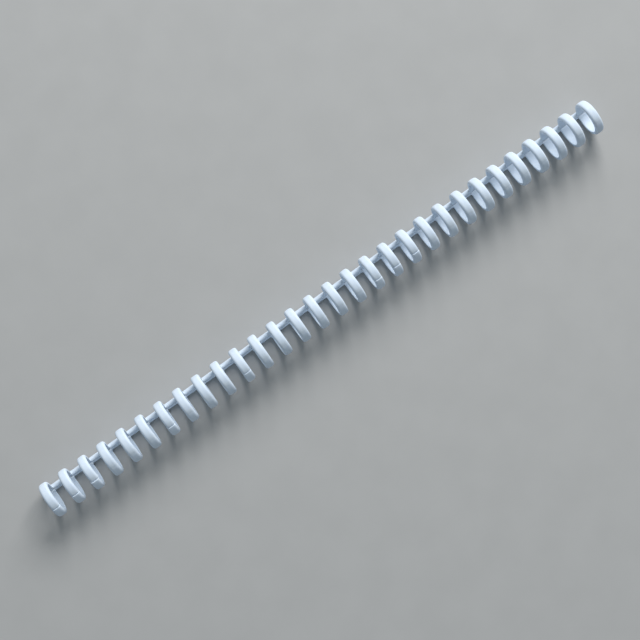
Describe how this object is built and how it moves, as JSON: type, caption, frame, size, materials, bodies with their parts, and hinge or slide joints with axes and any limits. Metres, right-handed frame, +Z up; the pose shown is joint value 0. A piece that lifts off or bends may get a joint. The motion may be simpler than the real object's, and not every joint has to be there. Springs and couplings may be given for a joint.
{
  "type": "loose-leaf binding comb",
  "caption": "Straight plastic binding comb: a spine of two rails on a film hinge, with a row of flat rings that split, snap shut and open like a clamshell.",
  "frame": {"origin": "on the surface that the closed comb lies on, straight below the rings' centre line, halfway along the comb", "axes": "+X along the comb, +Z up, +Y towards the spine; the spine lies low at the back and the rings' tips meet high at the front"},
  "size_m": [0.2794, 0.0154, 0.0155],
  "materials": {
    "ice_blue_plastic": "satin"
  },
  "bodies": {
    "front_half": {"front_half_rings_01_02": "ice_blue_plastic", "front_half_rings_03_04": "ice_blue_plastic", "front_half_rings_05_06": "ice_blue_plastic", "front_half_rings_07_08": "ice_blue_plastic", "front_half_rings_09_10": "ice_blue_plastic", "front_half_rings_11_12": "ice_blue_plastic", "front_half_rings_13_14": "ice_blue_plastic", "front_half_rings_15_16": "ice_blue_plastic", "front_half_rings_17_18": "ice_blue_plastic", "front_half_rings_19_20": "ice_blue_plastic", "front_half_rings_21_22": "ice_blue_plastic", "front_half_rings_23_24": "ice_blue_plastic", "front_half_rings_25_26": "ice_blue_plastic", "front_half_rings_27_28": "ice_blue_plastic", "front_half_rings_29_30": "ice_blue_plastic", "front_rail": "ice_blue_plastic", "film_hinge": "ice_blue_plastic"},
    "rear_half": {"rear_half_rings_01_02": "ice_blue_plastic", "rear_half_rings_03_04": "ice_blue_plastic", "rear_half_rings_05_06": "ice_blue_plastic", "rear_half_rings_07_08": "ice_blue_plastic", "rear_half_rings_09_10": "ice_blue_plastic", "rear_half_rings_11_12": "ice_blue_plastic", "rear_half_rings_13_14": "ice_blue_plastic", "rear_half_rings_15_16": "ice_blue_plastic", "rear_half_rings_17_18": "ice_blue_plastic", "rear_half_rings_19_20": "ice_blue_plastic", "rear_half_rings_21_22": "ice_blue_plastic", "rear_half_rings_23_24": "ice_blue_plastic", "rear_half_rings_25_26": "ice_blue_plastic", "rear_half_rings_27_28": "ice_blue_plastic", "rear_half_rings_29_30": "ice_blue_plastic", "rear_rail": "ice_blue_plastic"}
  },
  "joints": [
    {"name": "film_hinge_turn", "type": "hinge", "parent": "front_half", "child": "rear_half", "pos_m": [0, 0.00425, 0.00056], "axis": [-1, 0, 0], "range_deg": [0, 175], "deforming": ["film_hinge"]}
  ]
}
